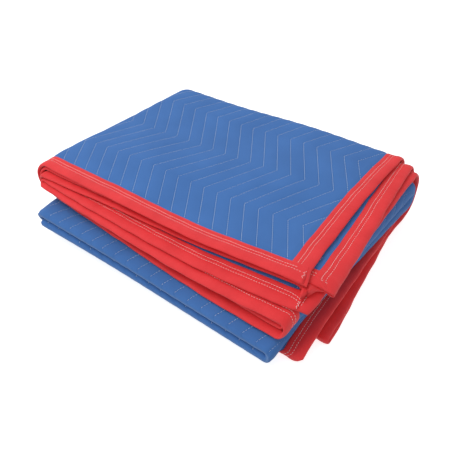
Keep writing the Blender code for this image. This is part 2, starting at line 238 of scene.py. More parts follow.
def travel_and_flank(stretch, share):
    """Travel round the back fold (0 front, 1 crest, 2 below) and flank, straight along each stretch."""
    none = np.zeros_like(share)
    crest = (2.0 - 2.0 * FLAT_TRAVEL) * share
    below = 2.0 - FLAT_TRAVEL
    travel = np.choose(stretch, (FLAT_TRAVEL * share, FLAT_TRAVEL + crest,
                                 below + FLAT_TRAVEL * share, none + 2.0,
                                 2.0 - FLAT_TRAVEL * share, below - crest,
                                 FLAT_TRAVEL - FLAT_TRAVEL * share))
    turned = (1.0 - np.cos(np.pi * share)) / 2
    return travel, np.choose(stretch, (none, none, none, turned, none + 1.0, none + 1.0, none + 1.0))


# The cloth is worked out in bays, each a run of even steps along one stretch of the folding.
NOSE_STRETCH = 3
LAST_STRETCH = 6
Bay = namedtuple("Bay", "stretch first last steps")
LENGTH_BAYS = (
    Bay(0, 0.0, 0.085, 12), Bay(0, 0.085, 0.25, 20), Bay(0, 0.25, 1.0, 100), Bay(1, 0.0, 1.0, 24),
    Bay(2, 0.0, 0.85, 80), Bay(2, 0.85, 1.0, 16), Bay(3, 0.0, 1.0, 12), Bay(4, 0.0, 0.15, 16),
    Bay(4, 0.15, 1.0, 80), Bay(5, 0.0, 1.0, 12), Bay(6, 0.0, 0.75, 72), Bay(6, 0.75, 0.915, 20),
    Bay(6, 0.915, 1.0, 12),
)
WIDTH_BAYS = (
    Bay(0, 0.0, 0.12, 12), Bay(0, 0.12, 1.0, 84), Bay(1, 0.0, 1.0, 44), Bay(2, 0.0, 0.8, 72),
    Bay(2, 0.8, 1.0, 20), Bay(3, 0.0, 1.0, 8), Bay(4, 0.0, 0.2, 20), Bay(4, 0.2, 1.0, 48),
    Bay(5, 0.0, 1.0, 28), Bay(6, 0.0, 0.8, 60), Bay(6, 0.8, 0.88, 8), Bay(6, 0.88, 1.0, 12),
)


def stations(bays):
    """Stretch and share of every station, counted on from bay to bay with no station twice."""
    shares = [np.linspace(bay.first, bay.last, bay.steps + 1)[1:] for bay in bays]
    kinds = [np.full(bay.steps, bay.stretch) for bay in bays]
    return np.append(0, np.concatenate(kinds)), np.append(0.0, np.concatenate(shares))


def from_edge(kinds, shares, panel):
    """Distance from the nearer of the two cut edges, in metres, large on the stretches between."""
    far = np.full(len(kinds), 1.0)
    near = np.where(kinds == 0, shares * panel, far)
    return np.where(kinds == LAST_STRETCH, (1.0 - shares) * panel, near)


length_kinds, length_shares = stations(LENGTH_BAYS)
width_kinds, width_shares = stations(WIDTH_BAYS)
long_kind, wide_kind = np.broadcast_arrays(length_kinds[:, None], width_kinds[None, :])
long_share, wide_share = np.broadcast_arrays(length_shares[:, None], width_shares[None, :])
travel, flank = travel_and_flank(wide_kind, wide_share)
first_level, last_level = levels_joined(long_kind, flank)
place_x, place_level = lengthwise(long_kind, long_share, first_level, last_level, travel)
ease = smooth(long_share)
side_edge, nose_edge = (edge_place(place_x, first_level, edge) * (1.0 - ease)
                        + edge_place(place_x, last_level, edge) * ease for edge in ("side", "nose"))
place_y, place_stack = widthwise(wide_kind, wide_share, side_edge, nose_edge, place_level)
cloth = np.stack([place_x, place_y, settle(place_x, place_y, place_stack)], axis=-1)


def along_cloth(points, axis):
    """Running length of the cloth along one grid axis: the steps between points, added up."""
    step = np.linalg.norm(np.diff(points, axis=axis), axis=-1)
    return np.insert(np.cumsum(step, axis=axis), 0, 0.0, axis=axis)


# Flat coordinates in metres: on the top panel they are X and Y, before the pack is centred. Wrinkles
# between the layers take up a little of the width before the nose.
TAKEN_UP = 0.014
top_fold = sum(bay.steps for bay in LENGTH_BAYS[:3])
run_length = along_cloth(cloth, 0)
flat_u = cloth[top_fold, :, 0] + run_length[top_fold] - run_length
before_nose = smooth(width_shares / WIDTH_BAYS[3].last)
taken_up = np.where(width_kinds == NOSE_STRETCH - 1, before_nose, width_kinds >= NOSE_STRETCH)
flat_v = cloth[:, :1, 1] + along_cloth(cloth, 1) + TAKEN_UP * taken_up


def unit(vectors):
    """Vectors over their own lengths."""
    return vectors / np.maximum(np.linalg.norm(vectors, axis=-1, keepdims=True), 1e-12)


cloth[..., :2] -= PACK_CENTRE


def moved_corner(block, along, across):
    """A corner's block of the cloth with its points moved inwards by a share of the way to the
    block's last row and column; each share falls off in straight lines to nothing there."""
    falls = [np.linspace(1.0, 0.0, size) for size in block.shape[:2]]
    share = (falls[0][:, None] * falls[1][None, :])[..., None]
    return block + share * (along * (block[-1:] - block) + across * (block[:, -1:] - block))


AT_START = slice(None, 9)
AT_END = slice(None, -10, -1)
for row_block, column_block, along, across in (
        (AT_START, AT_START, -0.26, -0.06), (AT_START, AT_END, -0.04, 0.24),
        (AT_END, AT_START, 0.20, 0.20), (AT_END, AT_END, 0.36, 0.36)):
    cloth[row_block, column_block] = moved_corner(cloth[row_block, column_block], along, across)
cloth_normals = unit(np.cross(np.gradient(cloth, axis=1), np.gradient(cloth, axis=0)))


def slimness(points, normals):
    """Share of its thickness that the cloth keeps: the room inside the tightest bend at a point."""
    bend = np.zeros(points.shape[:2])
    for axis in (0, 1):
        turn = np.linalg.norm(np.diff(normals, axis=axis), axis=-1)
        length = np.linalg.norm(np.diff(points, axis=axis), axis=-1)
        edge = [(0, 0), (0, 0)]
        edge[axis] = (1, 1)
        rate = np.pad(turn / np.maximum(length, SHORTEST_STEP), edge)
        bend = np.maximum(bend, np.maximum(np.delete(rate, 0, axis), np.delete(rate, -1, axis)))
    return np.minimum(1.0, INNER_ROOM / (bend * PAD_THICKNESS / 2 + 1e-9))


cloth_slimness = slimness(cloth, cloth_normals)

# Rows of the quilting: their pitch, how far a zigzag swings, the length of one run, and where the
# first turn lies.
ROW_PITCH = 0.0254
ROW_SWING = 0.0527
ROW_RUN = 0.0966
ROW_START = 0.0468
BONDING_PITCH = 0.0011         # of the dots that bond non-woven cloth


def row_number(u, v):
    """Place counted in rows: u less the zigzag's triangle wave in v, over the pitch."""
    turn = np.mod((v - ROW_START) / ROW_RUN, 2.0)
    return (u - ROW_SWING * (1.0 - np.abs(1.0 - turn))) / ROW_PITCH


quilt_rows = row_number(flat_u, flat_v)
between_rows = 2.0 * np.abs(quilt_rows - np.round(quilt_rows))
puff = np.sin(np.pi / 2 * between_rows) ** PUFF_POWER
half_thickness = PUFF_LOW + (PUFF_HIGH - PUFF_LOW) * puff
cut_edge = np.minimum(from_edge(length_kinds, length_shares, LOOSE_PANEL)[:, None],
                      from_edge(width_kinds, width_shares, UPPER_PANEL)[None, :])
past_binding = smooth((cut_edge - PRESSED_WIDTH) / PUFF_LENGTH)
half_thickness = SEWN_HALF + (half_thickness - SEWN_HALF) * past_binding
half_thickness = half_thickness * cloth_slimness

# Which face of each bay shows, a row for each length bay and a column for each width bay: the
# outer face (o), the inner one (i), both (b) or neither (-). A bay that shows keeps all its steps.
SHOWN = (
    "bboooooo--bb",
    "bbooooo---bb",
    "oooooo------",
    "oooooo------",
    "----ooo-----",
    "----ooo-----",
    "-oooooo-----",
    "----ooo-----",
    "-----oo-----",
    "-----o------",
    "-----o------",
    "-b---o---b--",
    "bbbb-o---bbb",
)
THIN_STEP = 4


def bay_numbers(bays):
    """The bay of every step."""
    return np.repeat(np.arange(len(bays)), [bay.steps for bay in bays])


def thinned(bays):
    """For every station, the one that stands for it where the cloth is hidden: the ends of its bay
    stay, and the rest go to the nearest whole number of thin steps inside it."""
    starts = np.cumsum([0] + [bay.steps for bay in bays])
    number = np.append(bay_numbers(bays), len(bays) - 1)
    place = np.arange(len(number)) - starts[number]
    count = np.diff(starts)[number] // THIN_STEP
    inside = np.clip(np.round(place / THIN_STEP).astype(int), 1, count - 1) * THIN_STEP
    return starts[number] + np.where(place == 0, 0, np.where(place == count * THIN_STEP, place, inside))


def shown_steps(face):
    """Whether each cell of the grid shows on a face of the cloth: its bays' mark is that face or b."""
    shown = np.array([[mark in (face, "b") for mark in row] for row in SHOWN])
    return shown[bay_numbers(LENGTH_BAYS)][:, bay_numbers(WIDTH_BAYS)]


def face_grid(face):
    """Number of the grid point that stands for each grid point on one face of the cloth."""
    padded = np.pad(shown_steps(face), 1)
    full = padded[:-1, :-1] | padded[1:, :-1] | padded[:-1, 1:] | padded[1:, 1:]
    rows, columns = np.arange(full.shape[0])[:, None], np.arange(full.shape[1])[None, :]
    full = full | (rows == 0) | (rows == rows[-1]) | (columns == 0) | (columns == columns[0, -1])
    row = np.where(full, rows, thinned(LENGTH_BAYS)[:, None])
    column = np.where(full, columns, thinned(WIDTH_BAYS)[None, :])
    return row * full.shape[1] + column


def grid_triangles(numbers, flipped):
    """Two triangles for each cell of a grid of point numbers, less those that thinning closed up."""
    a, b, c, d = numbers[:-1, :-1], numbers[:-1, 1:], numbers[1:, 1:], numbers[1:, :-1]
    cells = np.stack([a, b, c, a, c, d], axis=-1).reshape(-1, 3)
    if flipped:
        cells = cells[:, ::-1]
    distinct = (cells != np.roll(cells, 1, axis=1)).all(axis=1)
    return cells[distinct]


def new_piece(name, points, faces, finish, uv=None, highlight=None):
    """A smooth-shaded mesh object of its used points, with its flat coordinates as a UV map and, if
    given, the strength of a painted highlight at each point."""
    used, faces = np.unique(faces, return_inverse=True)
    faces = faces.reshape(-1, 3)
    mesh = bpy.data.meshes.new(name)
    mesh.from_pydata(points[used].tolist(), [], faces.tolist())
    if uv is not None:
        layer = mesh.uv_layers.new(name="flat")
        layer.data.foreach_set("uv", uv[used][faces.ravel()].ravel())
    if highlight is not None:
        mesh.attributes.new("crease_highlight", "FLOAT", "POINT").data.foreach_set("value", highlight[used])
    mesh.materials.append(finish)
    mesh.shade_smooth()
    piece = bpy.data.objects.new(name, mesh)
    bpy.context.scene.collection.objects.link(piece)
    return piece


def new_finish(name):
    """A material with its node tree and its Principled shader."""
    finish = bpy.data.materials.new(name)
    finish.use_nodes = True
    return finish, finish.node_tree, finish.node_tree.nodes["Principled BSDF"]


def feed(tree, node, values):
    """Give a node's inputs, by name or number, another node's output or else a value of their own."""
    for place, value in values.items():
        if isinstance(value, bpy.types.NodeSocket):
            tree.links.new(value, node.inputs[place])
        else:
            node.inputs[place].default_value = value
    return node


def maths(tree, operation, first, second=0.0):
    """A Math node's output from two inputs, each a number or another node's output."""
    node = tree.nodes.new("ShaderNodeMath")
    node.operation = operation
    return feed(tree, node, {0: first, 1: second}).outputs[0]


def waves(tree, value, pitch):
    """Sine waves between -1 and 1: sin(2 pi value / pitch)."""
    return maths(tree, "SINE", maths(tree, "MULTIPLY", value, 2.0 * np.pi / pitch))


def weighted(tree, parts):
    """The sum of several outputs, each times its weight."""
    total, *terms = [maths(tree, "MULTIPLY", value, weight) for value, weight in parts]
    for term in terms:
        total = maths(tree, "ADD", total, term)
    return total


def noise(tree, place, scale, detail=2.0):
    """A Noise texture's value at a place, between 0 and 1."""
    texture = tree.nodes.new("ShaderNodeTexNoise")
    return feed(tree, texture, {"Scale": scale, "Detail": detail, "Vector": place}).outputs["Fac"]


def ranged(tree, value, source, target=(0.0, 1.0), kind="SMOOTHSTEP"):
    """A value carried from one range to another and held at its ends."""
    node = tree.nodes.new("ShaderNodeMapRange")
    node.interpolation_type = kind
    return feed(tree, node, {"Value": value, "From Min": source[0], "From Max": source[1],
                             "To Min": target[0], "To Max": target[1]}).outputs[0]


def two_tones(tree, value, *tones):
    """A colour between two tones, each given after the value where it is reached."""
    ramp = feed(tree, tree.nodes.new("ShaderNodeValToRGB"), {0: value})
    for element, (position, colour) in zip(ramp.color_ramp.elements, tones):
        element.position = position
        element.color = colour
    return ramp.outputs[0]


def mixed(tree, blend, share, first, second):
    """A Mix node's output from two colours, which are its inputs 6 and 7."""
    mix = tree.nodes.new("ShaderNodeMix")
    mix.data_type = "RGBA"
    mix.blend_type = blend
    return feed(tree, mix, {0: share, 6: first, 7: second}).outputs[2]


def relief(tree, shader, height, strength, distance):
    """Bump a shader's surface by a height."""
    bump = tree.nodes.new("ShaderNodeBump")
    feed(tree, bump, {"Height": height, "Strength": strength, "Distance": distance})
    feed(tree, shader, {"Normal": bump.outputs[0]})


def flat_place(tree):
    """The flat coordinates, together and one by one."""
    place = tree.nodes.new("ShaderNodeUVMap")
    place.uv_map = "flat"
    parts = feed(tree, tree.nodes.new("ShaderNodeSeparateXYZ"), {0: place.outputs[0]})
    return place.outputs[0], parts.outputs[0], parts.outputs[1]


def quilted_finish():
    """Blue non-woven cloth: bonding dots, fuzz and puckers, sunk along the zigzag rows with painted
    shade along them, and a painted highlight along the noses' pressed creases."""
    finish, tree, shader = new_finish("blue_quilted_cloth")
    place, u, v = flat_place(tree)
    turn = maths(tree, "DIVIDE", maths(tree, "SUBTRACT", v, ROW_START), ROW_RUN)
    swing = maths(tree, "MULTIPLY", maths(tree, "PINGPONG", turn, 1.0), ROW_SWING)
    row = maths(tree, "DIVIDE", maths(tree, "SUBTRACT", u, swing), ROW_PITCH)
    beside = maths(tree, "MULTIPLY", maths(tree, "PINGPONG", row, 0.5), 2.0)

    sunk = ranged(tree, beside, (0.0, 0.30))
    dots = maths(tree, "MULTIPLY", waves(tree, u, BONDING_PITCH), waves(tree, v, BONDING_PITCH))
    fuzz = noise(tree, place, 900.0, 3.0)
    puckers = noise(tree, place, 85.0)
    height = weighted(tree, ((sunk, 0.8), (dots, 0.10), (fuzz, 0.16), (puckers, 0.55)))
    relief(tree, shader, height, 0.55, 0.0006)

    tone = two_tones(tree, noise(tree, place, 14.0, 4.0), (0.25, (0.052, 0.158, 0.430, 1.0)),
                     (0.75, (0.063, 0.186, 0.495, 1.0)))
    # Painted shade: the colour darkens by up to 8 per cent along each zigzag row, for the shade in its
    # sunk crease.
    painted_row_shade = ranged(tree, beside, (0.0, 0.22), (0.92, 1.0), "LINEAR")
    shaded = mixed(tree, "MULTIPLY", 1.0, tone, painted_row_shade)
    # Painted highlight: a paler blue mixed in along each nose's crease, for the light caught by its
    # ridge.
    crease_highlight = tree.nodes.new("ShaderNodeAttribute")
    crease_highlight.attribute_name = "crease_highlight"
    painted_highlight = maths(tree, "MULTIPLY", crease_highlight.outputs["Fac"], 0.35)
    colour = mixed(tree, "MIX", painted_highlight, shaded, (0.30, 0.48, 0.80, 1.0))
    feed(tree, shader, {"Base Color": colour, "Roughness": 0.92, "Specular IOR Level": 0.25,
                        "Sheen Weight": 0.08, "Sheen Roughness": 0.5})
    return finish


def drawn_in(grid):
    """The grid with its first and last rows and columns moved towards the next ones, so that the
    pad's rim lies inside the bindings."""
    for _ in range(2):
        grid = np.concatenate([grid[:1] + (grid[1:2] - grid[:1]) * RIM_INSET, grid[1:-1],
                               grid[-1:] + (grid[-2:-1] - grid[-1:]) * RIM_INSET]).swapaxes(0, 1)
    return grid


outer = drawn_in(cloth + cloth_normals * half_thickness[..., None])
inner = drawn_in(cloth - cloth_normals * half_thickness[..., None])
pad_points = np.concatenate([outer.reshape(-1, 3), inner.reshape(-1, 3)])
pad_points[:, 2] = np.maximum(pad_points[:, 2], 0.0)
face_points = flat_u.size
outer_grid = face_grid("o")
inner_grid = face_grid("i") + face_points
rim = np.concatenate([outer_grid[0, :], outer_grid[1:, -1], outer_grid[-1, -2::-1],
                      outer_grid[-2::-1, 0]])
rim_grid = np.stack([rim, rim + face_points])
pad_faces = np.concatenate([grid_triangles(outer_grid, False), grid_triangles(inner_grid, True),
                            grid_triangles(rim_grid, True)])
flat = np.stack([flat_u, flat_v], axis=-1).reshape(-1, 2)
# Strength of the painted highlight along each nose's crease: full on the crease, fading to none a share
# of the nose away on each side.
from_crease = np.abs(width_shares - 0.5) / HIGHLIGHT_SHARE
nose_highlight = (width_kinds == NOSE_STRETCH) * np.clip(1.0 - from_crease, 0.0, 1.0)
crease_highlight = np.broadcast_to(nose_highlight, flat_u.shape).ravel()
pad = new_piece("blanket_pad", pad_points, pad_faces, quilted_finish(),
                np.concatenate([flat, flat]), np.concatenate([crease_highlight, crease_highlight]))
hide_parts("quilted_pad")
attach(pad, "root")

# ---------------------------------------------------------------------------------------------
# Quilting thread. White polyester thread, sewn through the pad in long lockstitches that sink into
# the cloth at each hole. The stitches are laid where the cloth shows.
THREAD_PITCH = 0.0046
THREAD_LENGTH = 0.0038
THREAD_RADIUS = 0.00024
THREAD_SINK = 0.00034          # how much deeper it lies where the cloth stands on edge
FEWEST_CROSSINGS = 4           # a row that crosses fewer columns of the grid is left out


def read_grid(grid, rows, columns):
    """A grid read at pairs of fractional row and column numbers, straight between its points."""
    row = np.clip(np.floor(rows).astype(int), 0, grid.shape[0] - 2)
    column = np.clip(np.floor(columns).astype(int), 0, grid.shape[1] - 2)
    down, across = (rows - row)[:, None], (columns - column)[:, None]
    upper = grid[row, column] * (1.0 - across) + grid[row, column + 1] * across
    lower = grid[row + 1, column] * (1.0 - across) + grid[row + 1, column + 1] * across
    return upper * (1.0 - down) + lower * down


def read_line(values, places):
    """A line's values read at fractional numbers of its points."""
    numbers = np.arange(len(values))
    return np.stack([np.interp(places, numbers, column) for column in values.T], axis=1)


def stitch_places(points, pitch):
    """Fractional numbers of the points a pitch apart along a line of points."""
    run = along_cloth(points, 0)
    return np.interp(np.arange(pitch / 2, run[-1], pitch), run, np.arange(len(run)))


def stitches(middles, directions, normals, length, radius):
    """Grain-shaped stitches: two rings of four points and two tips, turned to each place."""
    directions, normals = unit(directions), unit(normals)
    sides = np.cross(directions, normals)
    ring = [(1, 0), (0, 1), (-1, 0), (0, -1)]
    shape = [(-1.0, 0, 0)] + [(end, side, rise) for end in (-0.6, 0.6) for side, rise in ring]
    shape = np.array(shape + [(1.0, 0, 0)], float)
    points = (middles[:, None] + directions[:, None] * shape[None, :, :1] * length / 2
              + sides[:, None] * shape[None, :, 1:2] * radius
              + normals[:, None] * shape[None, :, 2:] * radius * 0.8)
    faces = []
    for step in range(4):
        after = (step + 1) % 4
        faces += [(0, 1 + step, 1 + after), (9, 5 + after, 5 + step),
                  (1 + step, 5 + step, 5 + after), (1 + step, 5 + after, 1 + after)]
    faces = np.array(faces)[None] + (np.arange(len(middles)) * 10)[:, None, None]
    return points.reshape(-1, 3), faces.reshape(-1, 3)


def joined(parts):
    """One set of points and faces out of several."""
    offsets = np.cumsum([0] + [len(points) for points, _ in parts[:-1]])
    return (np.concatenate([points for points, _ in parts]),
            np.concatenate([faces + offset for (_, faces), offset in zip(parts, offsets)]))


def thread_finish(name, colour):
    """Matt sewing thread: fine noise on its surface for the twist."""
    finish, tree, shader = new_finish(name)
    place = tree.nodes.new("ShaderNodeTexCoord").outputs["Object"]
    relief(tree, shader, noise(tree, place, 1500.0), 0.4, 0.0002)
    feed(tree, shader, {"Base Color": colour, "Roughness": 0.7})
    return finish


def quilting_stitches(face):
    """Each row of stitches: where the row number passes a whole number in every column of the grid.
    On the noses they draw into the pressed crease, out of sight, and are left out."""
    steps = shown_steps(face)
    side = 1.0 if face == "o" else -1.0
    surface = cloth + cloth_normals * (side * half_thickness)[..., None]
    columns = np.arange(flat_u.shape[1])
    row_places = np.arange(flat_u.shape[0])
    numbers = np.arange(np.ceil(quilt_rows.min()), quilt_rows.max())
    crossings = np.stack([np.interp(numbers, quilt_rows[::-1, column], row_places[::-1],
                                    left=np.nan, right=np.nan) for column in columns], axis=1)
    parts = []
    for crossing in crossings:
        inside = ~np.isnan(crossing)
        if inside.sum() < FEWEST_CROSSINGS:
            continue
        rows, across = crossing[inside], columns[inside].astype(float)
        line = read_grid(surface, rows, across)
        places = stitch_places(line, THREAD_PITCH)
        row, column = read_line(np.stack([rows, across], axis=1), places).T
        middles = read_grid(surface, row, column)
        directions = read_line(np.gradient(line, axis=0), places)
        normals = read_grid(cloth_normals, row, column) * side
        middles -= normals * THREAD_SINK * (1.0 - np.abs(normals[:, 2:]))
        cell_rows = np.clip(row.astype(int), 0, steps.shape[0] - 1)
        cell_columns = np.clip(column.astype(int), 0, steps.shape[1] - 1)
        kept = steps[cell_rows, cell_columns]
        kept &= read_grid(cut_edge[..., None], row, column)[:, 0] > BINDING_WIDTH
        kept &= width_kinds[cell_columns + 1] != NOSE_STRETCH
        if kept.any():
            parts.append(stitches(middles[kept], directions[kept], normals[kept],
                                  THREAD_LENGTH, THREAD_RADIUS))
    return joined(parts)


thread_points, thread_faces = joined([quilting_stitches("o"), quilting_stitches("i")])
thread_points[:, 2] = np.maximum(thread_points[:, 2], 0.0)
quilting = new_piece("quilting_thread", thread_points, thread_faces,
                     thread_finish("quilting_thread_white", (0.70, 0.78, 0.92, 1.0)))
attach(quilting, "root")

# ---------------------------------------------------------------------------------------------
# Bindings. Red woven polyester tape, folded over each cut edge of the pad and sewn through. The near
# side's laps over both ends' and stops short of the corners. The far side's goes under the first
# end's, bunches up before its last corner and laps over the last end's.
TAPE_CLOTH = 0.0009
PAD_NOSE = 0.0018              # the tape's inside ends this far in from its folded edge
TAPE_PROFILE = (               # distance from the folded edge, and height over the pad's middle
    (0.0302, 0.00150), (0.0296, 0.00195), (0.0275, 0.00215), (0.0245, 0.00210), (0.0222, 0.00178),
    (0.0198, 0.00215), (0.0183, 0.00215), (0.0168, 0.00185), (0.0145, 0.00240), (0.0112, 0.00282),
    (0.0078, 0.00292), (0.0046, 0.00275), (0.0024, 0.00220), (0.0009, 0.00140), (0.0002, 0.00055),
)
STITCH_ROWS = (0.0222, 0.0168)  # from the folded edge
STITCH_PITCH = 0.0042
BINDING_STATIONS = int(np.ceil(BINDING_WIDTH / UPPER_PANEL * WIDTH_BAYS[0].steps / WIDTH_BAYS[0].last))
LAP_HEIGHT = 0.0008            # how much higher a strip lies over the one beneath it
LAP_EASE = 1.5                 # stations over which it rises
TUCKED_SHARE = 0.5             # of its thickness that a strip loses at an end that goes under
TUCKED_LENGTH = 2.5            # in stations
SHORT_ENDS = (1.2, 5.5)        # stations between a corner and the near side strip's cut ends
FAR_SIDE_SHORT = 1.0           # and from the last corner to the far side strip's end
FIRST_END_PAST = 0.35          # stations that the first end strip reaches past its last corner
CURVED_SHARE = 0.55            # of its width that the curved end of a strip loses
CURVED_LENGTH = 5.5            # in stations
CURVED_POWER = 1.6
BUNCH_PLACE = 6.5              # stations from the corner to the middle of the bunched-up cloth
BUNCH_SPREAD = 2.2             # in stations
BUNCH_OUT = 0.0180             # how far the bunch sticks out
BUNCH_HEIGHT = 1.5             # how many times thicker it makes the strip
CREASE_PITCHES = (0.011, 0.017)  # of the bunch's small folds, along the strip and across it
CREASE_OUT = 0.5               # share by which they change how far the bunch sticks out
CREASE_HEIGHT = 0.9            # and how thick it is
EDGE_RIPPLE = 0.0006
SWELL_RIPPLE = 0.09            # share of its thickness that a strip gains and loses along its length
SWELL_RATE = 1.7               # times the ripple of its edge
EDGE_STATIONS = 14
RIPPLE_RATES = (58.0, 91.0, 139.0)  # radians for each metre
RIPPLE_STARTS = (1.0, 2.3, 5.1)  # each times the seed
TWILL_PITCH = 0.0011


def ripple(run, seed):
    """Unevenness along a strip: the mean of three sine waves of unlike lengths."""
    waves = [np.sin(rate * run + start * seed) for rate, start in zip(RIPPLE_RATES, RIPPLE_STARTS)]
    return sum(waves) / len(waves)


Strip = namedtuple("Strip", "points normals room inwards rows seed lap slim width bunch")


def edge_strip(along_length, far, first, last, seed, over_first, over_last):
    """The cloth's stations beside one edge, turned so that the edge is the first column. Over a
    binding's width from each corner the strip is raised where it laps over the next strip, or made
    slimmer at its end where it goes under; one end strip's lap also narrows along a curve, and the
    far side strip bunches up, by a bell curve, before its last corner."""
    grids = [cloth, cloth_normals, cloth_slimness[..., None]]
    shares, panel = width_shares, UPPER_PANEL
    if not along_length:
        grids = [grid.swapaxes(0, 1) for grid in grids]
        shares, panel = length_shares, LOOSE_PANEL
    if far:
        grids = [grid[:, ::-1] for grid in grids]
        shares = 1.0 - shares[::-1]
    points, normals, room = (grid[:, :EDGE_STATIONS] for grid in grids)
    rows = np.arange(len(points))
    from_last = rows[-1] - rows
    lap = (over_first * smooth((BINDING_STATIONS + 1.0 - rows) / LAP_EASE)
           + over_last * smooth((BINDING_STATIONS + 1.0 - from_last) / LAP_EASE))
    slim = 1.0 - TUCKED_SHARE * ((not over_first) * smooth(1.0 - rows / TUCKED_LENGTH)
                                 + (not over_last) * smooth(1.0 - from_last / TUCKED_LENGTH))
    curve = np.clip(1.0 - from_last / CURVED_LENGTH, 0.0, 1.0) ** CURVED_POWER
    width = 1.0 - CURVED_SHARE * (over_last and not along_length) * curve
    bunch = (along_length and far) * np.exp(-((from_last - BUNCH_PLACE) / BUNCH_SPREAD) ** 2)
    return Strip(points, normals, room, shares[:EDGE_STATIONS] * panel,
                 np.append(np.arange(first, last), last), seed, LAP_HEIGHT * lap, slim, width, bunch)


def strip_places(strip, rows, distances, heights):
    """Points, normals and running lengths of a strip: out along the cloth's normal by the height, at
    a distance in from its edge, changed by its ripples, lap, tucked end, width and bunch."""
    numbers = np.arange(len(strip.points))
    run = np.interp(rows, numbers, along_cloth(strip.points[:, 0], 0))
    lap, slim, width, bunch = (np.interp(rows, numbers, values)
                               for values in (strip.lap, strip.slim, strip.width, strip.bunch))
    creases = np.sin(2.0 * np.pi * (run / CREASE_PITCHES[0] + distances / CREASE_PITCHES[1]))
    inwards = distances * width + EDGE_RIPPLE * ripple(run, strip.seed)
    inwards -= BUNCH_OUT * bunch * (1.0 + CREASE_OUT * creases) * (1.0 - distances / BINDING_WIDTH)
    columns = np.interp(inwards, strip.inwards, np.arange(len(strip.inwards)))
    points, normals = (read_grid(grid, rows, columns) for grid in (strip.points, strip.normals))
    outwards = unit(read_grid(strip.points[:, :1] - strip.points[:, 1:2], rows, 0.0 * rows))
    points = points + outwards * np.maximum(-inwards, 0.0)[:, None]
    normals = unit(normals)
    swell = slim * (1.0 + SWELL_RIPPLE * ripple(run * SWELL_RATE, strip.seed + 1.0))
    swell = swell * (1.0 + bunch * (BUNCH_HEIGHT + CREASE_HEIGHT * creases))
    rise = heights * swell + np.sign(heights) * lap
    room = read_grid(strip.room, rows, columns)[:, 0]
    return points + normals * (rise * room)[:, None], normals, run


def tape_section():
    """Closed outline of the folded tape: over the top, round the fold and back below; and the same
    number of points inside it, a tape's thickness in and stopping short of the fold."""
    top = np.array(TAPE_PROFILE)
    outside = np.concatenate([top, top[::-1] * (1.0, -1.0)])
    distances = np.clip(outside[:, 0], PAD_NOSE, TAPE_PROFILE[1][0])
    heights = np.clip(np.abs(outside[:, 1]) - TAPE_CLOTH, 0.0002, SEWN_HALF + 0.0001)
    inside = np.stack([distances, heights * np.sign(outside[:, 1])], axis=1)
    return outside, inside[::-1]


def tape_strip(strip, turned):
    """The tape's outline carried along its strip, closed at both ends."""
    outside, inside = tape_section()
    outline = np.concatenate([outside, inside])
    row_grid, outline_grid = np.meshgrid(strip.rows, np.arange(len(outline)), indexing="ij")
    distances, heights = outline[outline_grid.ravel()].T
    points, _, run = strip_places(strip, row_grid.ravel(), distances, heights)
    size, half = len(outline), len(outside)
    numbers = np.arange(len(strip.rows) * size).reshape(-1, size)
    faces = [grid_triangles(np.concatenate([numbers, numbers[:, :1]], axis=1), turned)]
    for ring, flipped in ((numbers[0], turned), (numbers[-1], not turned)):
        cap = np.stack([ring[:half], ring[:half - 1:-1]])
        faces.append(grid_triangles(cap, not flipped))
    return points, np.concatenate(faces), np.stack([run, distances], axis=1)


def tape_finish():
    """Red tape: a fine twill, puckers between its two rows of stitches and wider ones across it,
    and a slightly uneven tone."""
    finish, tree, shader = new_finish("red_binding_tape")
    place, along, across = flat_place(tree)
    twill = waves(tree, maths(tree, "ADD", along, across), TWILL_PITCH)
    stretched = feed(tree, tree.nodes.new("ShaderNodeMapping"),
                     {"Scale": (2.2, 0.7, 1.0), "Vector": place})
    puckers = noise(tree, stretched.outputs[0], 60.0, 3.0)
    slant = maths(tree, "ADD", along, maths(tree, "MULTIPLY", across, 0.6))
    from_middle = maths(tree, "SUBTRACT", across, (STITCH_ROWS[0] + STITCH_ROWS[1]) / 2)
    between = ranged(tree, maths(tree, "ABSOLUTE", from_middle), (0.0048, 0.0018))
    ladder = maths(tree, "MULTIPLY", waves(tree, slant, STITCH_PITCH), between)
    height = weighted(tree, ((twill, 0.05), (puckers, 1.3), (ladder, 0.22)))
    relief(tree, shader, height, 0.6, 0.0009)
    tone = two_tones(tree, noise(tree, place, 25.0), (0.3, (0.76, 0.026, 0.032, 1.0)),
                     (0.7, (0.86, 0.036, 0.042, 1.0)))
    feed(tree, shader, {"Base Color": tone, "Roughness": 0.68, "Specular IOR Level": 0.35,
                        "Sheen Weight": 0.12})
    return finish


last_row, last_column = cloth.shape[0] - 1, cloth.shape[1] - 1
strips = {
    "side_near": edge_strip(True, False, SHORT_ENDS[0], last_row - SHORT_ENDS[1], 0.4, True, True),
    "side_far": edge_strip(True, True, 0, last_row - FAR_SIDE_SHORT, 1.9, False, True),
    "end_first": edge_strip(False, False, 0, last_column + FIRST_END_PAST, 3.1, False, True),
    "end_last": edge_strip(False, True, 0, last_column, 4.6, False, False),
}
red_tape = tape_finish()
for place, turned in (("side_near", True), ("side_far", False), ("end_first", False),
                      ("end_last", True)):
    strip_points, strip_faces, strip_uv = tape_strip(strips[place], turned)
    strip_points[:, 2] = np.maximum(strip_points[:, 2], 0.0)
    side, edge = place.split("_")
    tape = new_piece(side + "_tape_" + edge, strip_points, strip_faces, red_tape, strip_uv)
    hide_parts(side + "_binding_" + edge)
    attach(tape, "root")

